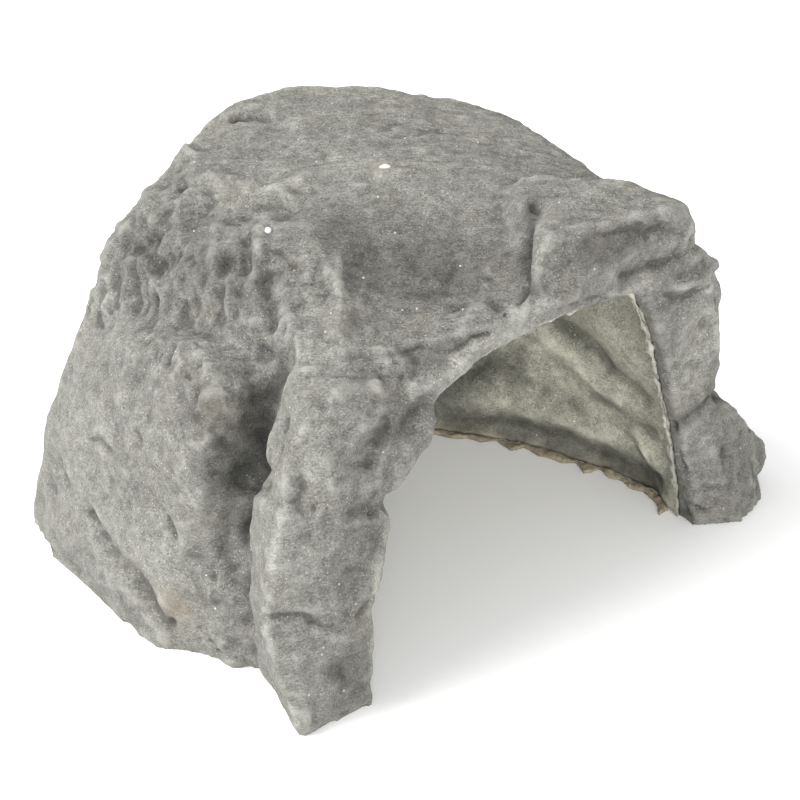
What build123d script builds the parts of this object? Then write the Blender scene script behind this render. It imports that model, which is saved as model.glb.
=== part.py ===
from build123d import *

import os
from itertools import combinations
from math import cos, pi, sin

# Resin cave ornament: a hollow imitation rock with one wide mouth and an open underside.
#
# The rock is cast in two coats. The face coat lies against the mould and carries the rock's relief, and
# the backing coat lines it. The two meet at the mouth, where resin squeezed out along the joint and set
# as a thin bead. A ragged lip of backing resin is left along the rim inside, and grains of white mineral
# filler stand at the surface.
#
# The rock is drawn with the front corner of the left foot at (0, 0, 0), +X along the mouth to the right,
# +Y into the cave and +Z up. The drawing is stretched to the sizes below, and the finished pieces are
# moved so that the origin is at the bottom centre of the rock.

os.makedirs("parts", exist_ok=True)

# Driving dimensions, in millimetres.
FLANK_BULGE = 10.0  # left flank, out past the left foot
LEFT_LEG = 20.0  # left foot, along the mouth
MOUTH_WIDTH = 104.5  # between the feet, at the ground
RIGHT_LEG = 31.0  # right foot with its lobes, along the mouth
FOOT_REACH = 9.0  # right foot, forward of the left one
LEFT_REVEAL = 11.0  # left foot's front back to the seam, on the mouth's left side
RIGHT_REVEAL = 3.5  # the same, on its right side
CHAMBER_DEPTH = 110.0  # left end of the seam to the outside of the back wall
MOUTH_HEIGHT = 78.0  # ground to the top of the mouth
ROOF_RISE = 22.0  # top of the mouth to the top of the roof
FACE_WALL = 4.5  # face coat
LINING_WALL = 2.5  # backing coat
BEAD_WIDTH = 1.6  # seam bead, along the way in
BEAD_HEIGHT = 1.1  # seam bead, out of the mouth's edge
LIP_REACH = 4.5  # ragged lip, into the cave
LIP_THICKNESS = 1.4
LIP_TONGUES = 24  # along the lip, each with a tip and a notch
GRAIN_RADIUS = 0.35
ROUND_GRAIN_RADIUS = 0.9
CHIP_LENGTH = 2.8
CHIP_WIDTH = 1.4

# Where those sizes begin and end in the drawing, along each axis.
MOUTH_END = LEFT_LEG + MOUTH_WIDTH
DRAWN_X, REAL_X = [-10, 0, 20, 124.5, 155.5], [-FLANK_BULGE, 0, LEFT_LEG, MOUTH_END, MOUTH_END + RIGHT_LEG]
DRAWN_Y, REAL_Y = [-9, 0, 6.5, 121], [-FOOT_REACH, 0, LEFT_REVEAL - FACE_WALL, LEFT_REVEAL + CHAMBER_DEPTH]
DRAWN_Z, REAL_Z = [0, 78, 100], [0, MOUTH_HEIGHT, MOUTH_HEIGHT + ROOF_RISE]

FAR = 500.0  # beyond every corner of the rock
SAME_PLANE = 1e-6  # a corner this close to a plane lies on it
DOWN, INTO_THE_CAVE = (0, 0, -1), (0, 1, 0)
NEARLY_LEVEL = 0.9  # a face whose normal is this steep is the underside

# The upright plane of the seam, across the mouth. It faces out of the cave.
ALONG_SEAM = Vector(MOUTH_WIDTH, RIGHT_REVEAL - LEFT_REVEAL, 0)
SEAM = Plane(origin=(LEFT_LEG, LEFT_REVEAL, 0), x_dir=ALONG_SEAM, z_dir=ALONG_SEAM.cross(Vector(0, 0, 1)))

# Corners of the drawn boulders. Each boulder is convex, and the rock is all of them together. The dome is
# cut off in front at the face wall's thickness before the seam.
DOME = [
    (7, 24, 0), (19, 4, 0), (21, 4, 54), (-5, 42, 0), (-8, 75, 0), (-6, 106, 0), (8, 118, 0),
    (36, 121, 0), (66, 110, 0), (88, 92, 0), (105, 76, 0), (119, 57, 0), (130, 31, 0), (134, 14, 0),
    (128, -4, 0), (128, -4, 60), (-5, 106, 12),
    (0, 101, 35), (7, 99, 54), (11, 98, 64), (16, 97, 76), (24, 97, 86), (38, 102, 90), (54, 106, 94),
    (62, 107, 98), (78, 104, 99), (93, 91, 99), (109, 77, 96), (117, 69, 93), (117, 46, 92),
    (114, 30, 92), (38, 84, 92), (46, 48, 91), (73, 57, 97), (92, 38, 96), (24, 18, 80), (44, 8, 77),
    (64, 7, 84), (104, 7, 87), (124, 3, 72),
]
FLANK = [
    (-1, 37, 0), (-8, 45, 0), (-10, 60, 0), (-10, 90, 0), (-6, 107, 0), (22, 40, 0), (20, 104, 0),
    (0, 42, 34), (-4, 60, 42), (-5, 84, 42), (-3, 100, 34), (8, 96, 62), (12, 80, 68), (13, 60, 70),
    (14, 44, 60), (1, 40, 44), (2, 36, 62), (8, 33, 73), (12, 52, 77), (4, 56, 68), (-2, 58, 48),
    (26, 40, 70), (16, 32, 44), (24, 58, 60), (20, 32, 62),
]
FOOT = [
    (0, 0, 0), (20, -2, 0), (26, 12, 0), (22, 26, 0), (7, 25, 0), (-4, 7, 26), (3, 7, 30), (9, 0, 26),
    (21, 0, 25), (23, 0, 18), (26, 14, 26), (3, 22, 28),
]
SHIN = [
    (-3, 8, 26), (8, 2, 26), (23, 1, 26), (28, 10, 24), (24, 26, 24), (4, 24, 26), (-1, 8, 45),
    (4, 8, 58), (14, 4, 53), (30, 3, 44), (29, 4, 50), (34, 14, 50), (20, 28, 56), (5, 22, 54),
]
KNEE = [
    (4, 10, 52), (14, 5, 52), (30, 4, 50), (43, 6, 59), (44, 7, 71), (38, 8, 76), (23, 11, 80),
    (13, 12, 76), (7, 12, 64), (20, 28, 80), (10, 24, 60), (45, 24, 72), (34, 20, 52),
]
BROW = [
    (69, 6, 85), (78, 9, 97), (99, 4, 98), (114, 0, 97), (118, 0, 88), (120, 1, 80), (103, 3, 80),
    (78, 4, 82), (86, 29, 98), (93, 36, 99), (105, 13, 99), (119, 16, 92), (118, 16, 78), (72, 24, 80),
]
CHEEK = [
    (108, 1, 40), (128, 0, 40), (131.5, 3, 65), (125, 1, 79), (117, 0, 86), (104, 1, 80), (104, 12, 82),
    (118, 20, 84), (130, 20, 60), (134, 18, 36), (108, 12, 40), (126, 3, 8), (136, 10, 4),
]
RIGHT_FOOT = [
    (120, 1, 0), (135, -9, 0), (147, -5, 0), (148, 8, 0), (136, 18, 0), (122, 12, 0), (145, -2, 20),
    (134, -1, 34), (120, -1, 37), (137, 14, 34), (146, 10, 18), (118, 10, 36), (135, -8, 9),
]
RIGHT_LOBE = [
    (140, 0, 0), (153, 0, 2), (155.5, 1, 9), (151, 2, 16), (142, 3, 21), (142, 14, 16), (152, 11, 8),
    (148, 12, 0), (136, 12, 0),
]
BOULDERS = [FLANK, FOOT, SHIN, KNEE, BROW, CHEEK, RIGHT_FOOT, RIGHT_LOBE]

# Outline of the mouth, across and up, from the ground at the left foot to the ground at the right one.
MOUTH = [
    (20, 0), (22, 17), (24, 28), (30, 44), (30, 50), (43, 59), (44, 70), (55, 75), (76, 78), (102, 77),
    (109, 61), (114, 44), (119, 27), (123, 10), (124.5, 0),
]

# Where the grains stand: over a drawn place on the roof (across, in), and before a drawn place on the
# front (across, up).
ROUND_GRAIN = (39.2, 60.6)
CHIP = (70.4, 56.3)
ROOF_GRAINS = [
    (34, 30), (46.6, 34.8), (50, 20), (60, 40), (66, 24), (63.8, 51), (58, 14), (30, 27), (47, 72),
    (64, 82), (84, 66), (98, 55), (42, 94), (29, 76), (106, 20), (90, 18),
]
FRONT_GRAINS = [(3.2, 11), (12, 8), (17.7, 29), (14, 36), (7, 21), (29, 63), (137, 20), (124, 58)]


def stretched(value, drawn, real):
    """A drawn coordinate at its real size, stretched evenly between two marks."""
    span = max(i for i in range(len(drawn) - 1) if i == 0 or value > drawn[i])
    share = (value - drawn[span]) / (drawn[span + 1] - drawn[span])
    return real[span] + share * (real[span + 1] - real[span])


def placed(x, y, z):
    """A drawn point at its real place."""
    return Vector(stretched(x, DRAWN_X, REAL_X), stretched(y, DRAWN_Y, REAL_Y), stretched(z, DRAWN_Z, REAL_Z))


def faces_round(drawn_corners):
    """The outward planes of the smallest convex solid that holds the corners."""
    corners = [placed(*c) for c in drawn_corners]
    centre = sum(corners, Vector()) / len(corners)
    planes = {}
    for a, b, c in combinations(corners, 3):
        normal = (b - a).cross(c - a)
        if normal.length < SAME_PLANE:
            continue
        normal = normal.normalized() if normal.dot(a - centre) > 0 else -normal.normalized()
        heights = [normal.dot(p - a) for p in corners]
        if max(heights) < SAME_PLANE:
            planes.setdefault(tuple(h > -SAME_PLANE for h in heights), Plane(origin=a, z_dir=normal))
    return list(planes.values())


def behind(planes):
    """What is left of a huge block behind every plane."""
    block = Solid.make_box(2 * FAR, 2 * FAR, 2 * FAR, Plane((-FAR, -FAR, -FAR)))
    for plane in planes:
        block = block.split(plane, keep=Keep.BOTTOM)
    return block


def rock_outside():
    """The whole rock as one lump."""
    dome = behind([*faces_round(DOME), SEAM.offset(FACE_WALL)])
    return dome.fuse(*[behind(faces_round(corners)) for corners in BOULDERS])


def walls_inside(wall, front):
    """The planes that bound the space in the dome, for a wall thickness and a front plane."""
    walls = [p.offset(-wall) for p in faces_round(DOME) if p.z_dir.Z > -NEARLY_LEVEL]
    return [*walls, front]


def mouth_outline(inset):
    """The mouth's real outline, as points across and up, drawn in by an inset."""
    points = [placed(x, 0, z) for x, z in MOUTH]
    outline = []
    for before, point, after in zip([points[0], *points], points, [*points[1:], points[-1]]):
        along = (after - before).normalized()
        outline.append((point.X + along.Z * inset, point.Z - along.X * inset))
    return outline


def mouth_block(behind_seam, inset=0.0):
    """A block with the mouth's outline, from far in front to a depth behind the seam and far underground."""
    outline = mouth_outline(inset)
    sides = [(outline[0][0], -FAR), *outline, (outline[-1][0], -FAR)]
    wire = Wire.make_polygon([(x, -FAR, z) for x, z in sides], close=True)
    block = Solid.extrude(Face(wire), Vector(0, 2 * FAR, 0))
    return block.split(SEAM.offset(-behind_seam), keep=Keep.TOP)


def make_seam_bead():
    """The bead that stands out of the mouth's edge along the seam."""
    ring = mouth_block(BEAD_WIDTH / 2) - mouth_block(BEAD_WIDTH, BEAD_HEIGHT)
    return ring.split(SEAM.offset(BEAD_WIDTH / 2), keep=Keep.BOTTOM).split(Plane.XY, keep=Keep.TOP)


def make_rim_lip(walls, front):
    """The ragged lip along the inner rim, from one foot round the back to the other."""
    middle = front.origin + front.x_dir * (MOUTH_WIDTH / 2)
    steps = 2 * LIP_TONGUES
    edge = []
    for i in range(steps + 1):
        out = front.x_dir * cos(pi * i / steps) - front.z_dir * sin(pi * i / steps)
        facing = [w for w in walls if w.z_dir.dot(out) > SAME_PLANE]
        to_wall = min((w.origin - middle).dot(w.z_dir) / w.z_dir.dot(out) for w in facing)
        raggedness = 0.6 + 0.2 * (-1) ** i + 0.2 * sin(i * i)
        edge.append(middle + out * (to_wall - LIP_REACH * raggedness))
    kept_clear = Solid.extrude(Face(Wire.make_polygon(edge, close=True)), Vector(0, 0, LIP_THICKNESS))
    slab = behind([*walls, Plane.XY.offset(LIP_THICKNESS), Plane(origin=(0, 0, 0), z_dir=DOWN)])
    return slab - kept_clear


def on_roof(rock, x, y):
    """The highest point of the rock over a drawn place, and the way straight out of it."""
    at = placed(x, y, 0)
    return max(rock.find_intersection_points(Axis((at.X, at.Y, FAR), DOWN)), key=lambda hit: hit[0].Z)


def on_front(rock, x, z):
    """The foremost point of the rock before a drawn place, and the way straight out of it."""
    at = placed(x, 0, z)
    hits = rock.find_intersection_points(Axis((at.X, -FAR, at.Z), INTO_THE_CAVE))
    return min(hits, key=lambda hit: hit[0].Y)


def make_grains(rock):
    """The white filler grains, each half sunk in the face coat."""
    spots = [on_roof(rock, *spot) for spot in ROOF_GRAINS] + [on_front(rock, *spot) for spot in FRONT_GRAINS]
    grains = [Solid.make_sphere(GRAIN_RADIUS).moved(Location(point)) for point, _ in spots]
    grains.append(Solid.make_sphere(ROUND_GRAIN_RADIUS).moved(Location(on_roof(rock, *ROUND_GRAIN)[0])))
    point, out = on_roof(rock, *CHIP)
    chip = Solid.make_box(CHIP_LENGTH, CHIP_WIDTH, CHIP_WIDTH)
    chip = chip.moved(Location((-CHIP_LENGTH / 2, -CHIP_WIDTH / 2, -CHIP_WIDTH / 2)))
    grains.append(chip.moved(Plane(origin=point, z_dir=out).location))
    return grains


rock = rock_outside()
lining_front = SEAM.offset(-LINING_WALL)
cave = behind(walls_inside(FACE_WALL, SEAM))
hollow_walls = walls_inside(FACE_WALL + LINING_WALL, lining_front)
mouth = mouth_block(LINING_WALL + BEAD_WIDTH)
grains = make_grains(rock)

pieces = {
    "face_shell": (rock - cave - mouth).cut(*grains).solids(),
    "inner_lining": (cave.split(Plane.XY, keep=Keep.TOP) - behind(hollow_walls) - mouth).solids(),
    "mouth_seam_flash": make_seam_bead().solids(),
    "base_rim_flash": make_rim_lip(hollow_walls, lining_front).solids(),
    "quartz_grains": grains,
}

reach = rock.bounding_box()
to_origin = Location((-reach.center().X, -reach.center().Y, -reach.min.Z))
for name, solids in pieces.items():
    export_step(Compound([solid.moved(to_origin) for solid in solids]), f"parts/{name}.step")
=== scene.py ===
"""Looks of the resin cave ornament: its rock relief, its two coats of resin, the flash and the grains.

Every piece starts as a copy of its CAD node, so it is where the node is. It is remeshed finely, and then
carved in code: the listed strokes give the creases, ledges, pits and swells, and layered noise gives the
lumps, the brushed lines of the roof and the sandy skin between them. The carving is in millimetres from
the front corner of the left foot, with +X along the mouth, +Y into the cave and +Z up.
"""

import logging
from collections.abc import Sequence
from dataclasses import dataclass, field
from enum import Enum
from math import radians

import bpy
import numpy as np
from mathutils import Matrix, Vector, noise
from mathutils.bvhtree import BVHTree


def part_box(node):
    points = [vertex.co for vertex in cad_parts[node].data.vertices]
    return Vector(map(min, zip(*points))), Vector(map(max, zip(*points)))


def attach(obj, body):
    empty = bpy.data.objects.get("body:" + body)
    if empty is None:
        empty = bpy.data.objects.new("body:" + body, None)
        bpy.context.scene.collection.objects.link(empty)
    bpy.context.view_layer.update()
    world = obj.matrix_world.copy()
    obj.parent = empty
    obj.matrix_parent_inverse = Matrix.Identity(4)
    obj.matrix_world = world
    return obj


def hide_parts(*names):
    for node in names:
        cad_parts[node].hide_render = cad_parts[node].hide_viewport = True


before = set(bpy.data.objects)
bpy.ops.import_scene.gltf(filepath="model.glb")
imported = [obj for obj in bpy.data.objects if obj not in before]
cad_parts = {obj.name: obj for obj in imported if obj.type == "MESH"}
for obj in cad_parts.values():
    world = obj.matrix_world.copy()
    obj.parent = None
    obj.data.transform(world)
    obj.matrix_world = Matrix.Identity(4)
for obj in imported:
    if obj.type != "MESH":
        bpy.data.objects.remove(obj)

log = logging.getLogger("cave")

MM = 0.001
# Unseeded, the noise that makes strokes wander is another on every run.
NOISE_SEED = 4
Point = tuple[float, float, float]
Colour = tuple[float, float, float]

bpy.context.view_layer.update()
SHELL_LOW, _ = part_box("face_shell")
# How far the flank stands out to the left of the left foot, and the right foot in front of it.
FLANK_BULGE, FOOT_REACH = 10.0, 9.0
# The left foot's front corner in the row's frame, in millimetres.
FOOT_CORNER = np.array(SHELL_LOW) / MM + np.array([FLANK_BULGE, FOOT_REACH, 0.0])

# What is lower than this stands on the floor and stays flat.
STANDING_HEIGHT = 0.35
# CAD points closer than this are one point.
MERGE_GAP = 0.002
# Two coats whose faces are closer than this hide each other.
HIDDEN_GAP = 0.45
# The painted tone of skin with no painted shade or highlight, neither bare and dark nor frosted and pale.
LEVEL_TONE = 0.5
# The way the brushed lines of the roof run, seen from above, and the way across them.
BRUSH_TURN = -39.0
ALONG_LINES = np.array([0.777, -0.629, 0.0])
ACROSS_LINES = np.array([0.629, 0.777, 0.0])


class Profile(Enum):
    """How a stroke's height falls off from its middle to its side."""

    SWELL = "a soft round rise or hollow"
    GROOVE = "a crease with straight sides"
    PIT = "a hole with a round floor and a faint rim"


@dataclass(frozen=True)
class Stroke:
    """One pass of the carving tool.

    Args:
        path: the points that the tool passes, in millimetres from the foot corner.
        width: from the middle of the stroke to where it ends.
        height: out of the surface, or into it when negative.
        profile: the tool's shape.
    """

    path: Sequence[Point]
    width: float
    height: float
    profile: Profile = Profile.SWELL

    def distance(self, points: np.ndarray) -> np.ndarray:
        """Distance of each point from the path, in millimetres."""
        corners = np.array(self.path, dtype=float)
        if len(corners) == 1:
            return np.linalg.norm(points - corners[0], axis=1)
        nearest = np.full(len(points), np.inf)
        for start, end in zip(corners, corners[1:]):
            run = end - start
            share = np.clip((points - start) @ run / (run @ run), 0.0, 1.0)
            nearest = np.minimum(nearest, np.linalg.norm(points - start - share[:, None] * run, axis=1))
        return nearest

    def lift(self, points: np.ndarray) -> np.ndarray:
        """How far the stroke lifts each point out of the surface, in millimetres."""
        reach = self.distance(points) / self.width
        if self.profile is Profile.SWELL:
            shape = np.exp(-2.2 * reach**2)
        elif self.profile is Profile.GROOVE:
            shape = np.clip(1.0 - reach, 0.0, 1.0) ** 1.3
        else:
            rim = 0.05 * np.exp(-(((reach - 1.5) / 0.3) ** 2))
            shape = 1.0 / (1.0 + np.exp(4.5 * (reach - 0.75))) - rim
        return self.height * shape


def groove(width: float, depth: float, *path: Point) -> Stroke:
    """A crease cut along a path."""
    return Stroke(path, width, -depth, Profile.GROOVE)


def swell(width: float, height: float, *path: Point) -> Stroke:
    """A soft rise along a path."""
    return Stroke(path, width, height)


def dip(width: float, depth: float, *path: Point) -> Stroke:
    """A soft hollow along a path."""
    return Stroke(path, width, -depth)


def pit(width: float, depth: float, *path: Point) -> Stroke:
    """A hole, or a slot when its path has two points."""
    return Stroke(path, width, -depth, Profile.PIT)


ROOF_STROKES = [
    swell(
        4.5, 1.3,
        (44, 101, 93), (41, 91, 92), (40, 82, 92), (43, 77, 92), (47, 71, 93), (56, 67, 95), (66, 65, 96),
    ),
    dip(6.0, 1.8, (35, 80, 89), (39, 72, 90), (45, 64, 91), (50, 60, 92)),
    swell(9.0, 1.6, (70, 55, 97), (76, 50, 97)),
    pit(2.4, 3.2, (58.5, 100.5, 97), (63.5, 97, 98)),
    dip(6.0, 1.2, (64, 92, 98), (70, 84, 98)),
    groove(2.2, 1.4, (48, 104, 93), (46, 98, 93), (49, 92, 94)),
    groove(1.8, 1.0, (30, 99, 88), (35, 96, 90), (42, 97, 92)),
    dip(12.0, 1.2, (84, 74, 98), (96, 58, 97)),
    groove(2.0, 0.9, (100, 80, 97), (92, 84, 98), (80, 88, 99)),
]

FOREHEAD_STROKES = [
    swell(3.4, 1.1, (49, 57, 92), (44, 47, 90), (38, 36, 87), (32, 26, 83)),
    swell(3.2, 0.8, (49, 57, 93), (57, 57, 94), (68, 56, 97)),
    dip(13.0, 1.3, (51, 34, 89), (63, 24, 88)),
    groove(
        1.9, 2.2,
        (27, 19, 81), (31, 16, 80.5), (35, 14, 80), (44, 11, 80.4), (52, 8, 80.5), (58, 7, 81.5),
    ),
    dip(4.0, 0.8, (34, 16, 82), (44, 13, 82), (54, 10, 83)),
    swell(2.4, 0.9, (46, 42, 90), (39, 35, 87), (34, 27, 84.5), (31, 22, 82.5)),
    swell(3.6, 1.2, (41, 8, 74), (52, 7, 77), (66, 6, 81), (82, 4, 83)),
    swell(2.6, 1.5, (70, 18, 88), (66, 14, 87), (59, 11, 84), (54, 9, 82)),
    dip(5.5, 2.0, (66, 9, 86)),
    groove(1.4, 0.7, (47, 22, 85), (54, 16, 85), (60, 15, 86)),
    pit(1.6, 1.6, (68, 16, 87)),
    pit(1.0, 0.9, (69, 14, 87)),
    pit(1.7, 1.7, (73, 10, 89)),
    pit(0.9, 0.9, (65, 7, 84)),
    pit(0.9, 0.7, (56, 32, 89)),
    pit(0.9, 0.7, (61, 40, 92)),
]

BROW_STROKES = [
    groove(3.2, 3.0, (86, 23, 98), (83, 20, 97), (78, 17, 93), (73, 11, 89), (70, 6, 85)),
    dip(4.0, 1.8, (85, 22, 98)),
    pit(2.6, 1.8, (71, 7, 86)),
    dip(5.0, 2.0, (92, 5, 95), (98, 3.5, 94), (104, 2, 94)),
    pit(1.1, 1.0, (92, 4, 95), (95, 3.5, 95)),
    pit(0.9, 1.0, (100, 3, 96)),
    swell(2.4, 0.9, (80, 8, 95), (88, 7, 97), (98, 4, 97), (110, 1, 97)),
    dip(2.6, 1.5, (97, 3, 84), (106, 2, 83), (114, 0, 82), (119, 0, 84)),
    swell(2.2, 2.0, (92, 4, 80), (98, 3, 79.5), (104, 3, 78.5), (113, 0, 76.5), (120, 0, 76), (125, 1, 77)),
    groove(1.8, 1.2, (105, 3, 75.5), (113, 0, 73), (121, 0, 72)),
    groove(1.6, 0.6, (108, 1, 92), (112, 0, 88), (111, 1, 84)),
    pit(0.9, 0.9, (112, 0, 82)),
    pit(0.8, 0.8, (94, 3, 91)),
    swell(6.0, 1.2, (100, 18, 99), (108, 14, 98)),
    dip(7.0, 1.6, (96, 32, 98), (108, 26, 96)),
    groove(2.2, 1.5, (116, 0, 86), (120, 6, 86), (121, 14, 86)),
]

CHEEK_STROKES = [
    groove(2.8, 2.4, (136, 8, 33), (134, 3, 35), (126, 0, 38), (121, 0, 37), (117, 1, 33)),
    pit(2.4, 2.4, (117.5, 2, 32)),
    pit(2.6, 2.4, (131, 2, 54)),
    swell(5.0, 1.4, (131, 3, 67)),
    swell(4.0, 1.0, (129, 1, 47)),
    dip(5.0, 1.3, (121, 0, 60), (119, 0, 50)),
    swell(3.0, 0.8, (123, 0, 70), (119, 0, 76)),
    pit(1.0, 0.9, (122, 0, 56)),
    pit(1.1, 1.0, (121, 0, 44)),
    groove(1.5, 0.9, (127, 0, 66), (125, 0, 60), (126, 0, 52)),
]

RIGHT_FOOT_STROKES = [
    groove(1.9, 1.5, (119, 1, 28), (120, 1, 20), (122, 1, 12), (124, 1, 2)),
    groove(2.4, 1.8, (141, 2, 24), (142, -2, 20), (142, -4, 13), (144, -5, 4)),
    dip(4.0, 1.4, (131, -5, 20), (133, -6, 14)),
    pit(1.6, 1.5, (131, -5, 22)),
    pit(1.1, 1.1, (130, -5, 18)),
    pit(1.3, 1.2, (139, -3, 23)),
    pit(1.4, 1.5, (126, -3, 6)),
    groove(0.9, 0.6, (123, -1, 7), (128, -4, 6), (132, -7, 8)),
    pit(1.2, 1.1, (133, -8, 3)),
    swell(3.5, 1.3, (137, -2, 30)),
    swell(3.0, 1.0, (148, -1, 10)),
    swell(4.0, 0.9, (124, -1, 28)),
]

FLANK_TOP_STROKES = [
    pit(3.0, 3.2, (22.5, 85, 83), (20, 88, 80)),
    groove(2.4, 1.8, (20, 88, 80), (17, 90, 76), (15, 91, 70)),
    groove(2.6, 2.0, (42, 94, 91), (36, 90, 90), (31, 88, 87), (27, 86, 85)),
    groove(2.0, 1.4, (36, 90, 90), (38, 84, 91), (36, 78, 90)),
    pit(3.2, 2.4, (22, 78, 81)),
    swell(2.6, 1.9, (22, 85, 79), (19, 80, 78), (18, 74, 75), (15, 70, 71)),
    swell(4.0, 1.6, (28, 80, 86)),
    swell(4.5, 1.5, (12, 84, 70)),
    pit(2.2, 2.1, (28, 62, 86)),
    dip(3.4, 3.0, (37, 68, 90), (33, 62, 88), (30, 58, 86)),
    swell(2.4, 1.6, (40, 65, 91), (34, 57, 88), (28, 50, 84)),
    swell(2.8, 1.4, (32, 70, 88), (27, 66, 86), (23, 61, 84)),
    pit(3.0, 2.2, (25, 55, 84)),
    dip(3.0, 2.6, (33, 51, 87), (28, 45, 84), (24, 40, 82)),
    groove(2.6, 2.0, (38, 39, 87), (34, 31, 85)),
    swell(2.4, 1.6, (34, 47, 87), (29, 39, 84), (26, 33, 82)),
    groove(2.2, 1.6, (38, 55, 89), (35, 47, 88)),
    swell(2.4, 1.1, (22, 50, 81), (19, 44, 79)),
    groove(2.2, 1.6, (20, 60, 81), (16, 55, 78), (14, 50, 76)),
    dip(4.0, 1.6, (14, 76, 72), (11, 70, 69)),
    groove(2.4, 1.6, (10, 92, 63), (8, 84, 62), (9, 76, 64)),
    swell(3.6, 1.6, (5, 92, 57)),
    swell(4.0, 1.4, (24, 96, 84)),
    swell(3.4, 1.5, (15, 96, 73)),
    groove(2.2, 1.6, (20, 97, 79), (19, 91, 79)),
]

SHOULDER_STROKES = [
    groove(1.0, 0.8, (3, 54, 69), (5, 49, 71.5), (8, 46, 74), (13, 44, 76)),
    dip(6.5, 2.6, (20, 39, 75), (23, 33, 74)),
    dip(8.0, 1.8, (4, 37, 66), (8, 33, 70)),
    swell(5.0, 1.6, (4, 44, 68), (3, 52, 64)),
    pit(2.4, 2.0, (6, 64, 59)),
    pit(1.7, 1.4, (5, 68, 58)),
    dip(5.0, 2.6, (8, 34, 58), (9, 35, 52)),
    dip(3.0, 1.4, (4, 38, 52), (7, 34, 50), (10, 33, 46)),
    pit(1.2, 1.3, (10, 33, 46)),
    pit(1.3, 1.3, (2, 38, 61)),
    swell(1.4, 0.7, (0, 42, 62), (2, 38, 59), (4, 36, 61)),
    dip(5.0, 1.5, (12, 34, 70)),
    swell(2.6, 1.1, (2, 39, 62), (0, 42, 52), (1, 39, 46), (3, 36, 34), (5, 32, 20), (6, 29, 8)),
    swell(7.0, 2.4, (1, 35, 20), (3, 32, 10), (4, 30, 3)),
    dip(4.5, 2.0, (19, 32, 72), (15, 31, 62), (12, 29, 50), (10, 29, 38)),
]

FLANK_LOW_STROKES = [
    groove(1.5, 1.1, (-1, 58, 53), (0, 54, 45)),
    groove(1.8, 1.5, (-2, 57, 42), (-1, 50, 38)),
    dip(3.0, 2.4, (-1, 45, 36), (-1, 42, 31), (0, 40, 27)),
    groove(2.0, 0.6, (0, 40, 27), (0, 37, 18), (1, 33, 8)),
    dip(4.0, 3.0, (-9, 74, 21), (-9, 64, 18), (-9, 57, 15), (-8, 50, 12), (-6, 44, 7)),
    swell(6.0, 1.3, (-10, 68, 11), (-9, 56, 7), (-8, 48, 3)),
    swell(6.0, 1.6, (-5, 54, 28), (-5, 48, 22)),
    dip(5.0, 1.3, (-4, 42, 13)),
    swell(5.0, 1.2, (-7, 78, 36)),
    groove(2.6, 1.2, (-6, 88, 46), (-5, 76, 42), (-4, 66, 44)),
    dip(7.0, 1.4, (-7, 88, 24)),
    pit(0.9, 0.9, (1, 32, 4)),
    pit(0.8, 0.8, (0, 34, 6)),
    pit(0.8, 0.8, (-1, 36, 5)),
    pit(0.7, 0.7, (2, 31, 6)),
    pit(0.8, 0.8, (-2, 37, 8)),
    pit(0.8, 0.7, (-3, 38, 5)),
    swell(3.0, 1.2, (-10, 92, 4)),
    swell(2.4, 1.0, (-6, 44, 2)),
]

LEFT_LEG_STROKES = [
    dip(4.0, 1.8, (13, 21, 70), (9, 19, 62), (6, 23, 54), (7, 27, 44), (3, 24, 34), (3, 25, 20)),
    groove(2.2, 1.0, (5, 12, 57), (9, 7, 56), (13, 5, 54.5)),
    dip(3.0, 1.5, (20, 4.5, 53), (25, 4, 51.5), (30, 4, 50)),
    dip(4.0, 1.0, (22, 5, 55), (30, 5, 53)),
    pit(1.1, 1.3, (24, 4, 49.5)),
    groove(2.2, 2.0, (-3, 9, 30), (1, 5, 30.5), (5, 3, 29.5)),
    groove(1.9, 1.1, (5, 3, 29.5), (9, 1, 27.5), (14, 0, 25.5), (18, 0, 27), (23, 0, 28)),
    swell(2.2, 0.7, (3, 4, 27), (9, 1, 25), (14, 0, 23), (20, 0, 24)),
    dip(3.0, 0.9, (12, 1, 22)),
    dip(3.0, 1.0, (12, 13, 70), (9, 11, 64), (8, 9, 58)),
    swell(2.2, 1.0, (26, 5, 57), (31, 5, 63), (35, 7, 69), (39, 8, 75)),
    pit(1.5, 1.5, (18, 11, 77)),
    pit(1.2, 1.2, (11, 8, 56)),
    swell(3.6, 1.5, (22, 11, 80), (30, 10, 78)),
    dip(6.5, 1.7, (25, 7, 62), (32, 7, 66), (38, 6, 69)),
    swell(1.8, 1.0, (17, 8, 61), (22, 9, 68), (30, 9, 73), (36, 8, 74.5)),
    swell(4.0, 1.3, (18, 8, 66)),
    dip(2.4, 0.9, (3, 6, 43), (1, 5, 36), (0, 6, 32)),
    swell(2.0, 1.0, (4, 5, 46), (3, 4, 38)),
    dip(6.0, 1.1, (16, 3, 40)),
    pit(0.8, 0.9, (17, 2, 30)),
    swell(2.2, 0.9, (1, 2, 22), (1, 1, 12), (2, 0, 4)),
    dip(5.0, 1.0, (11, 0, 14)),
    dip(1.8, 0.7, (14, 0, 22), (13, 0, 12), (15, 0, 5)),
    pit(0.8, 0.8, (19, 1, 58)),
]

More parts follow.
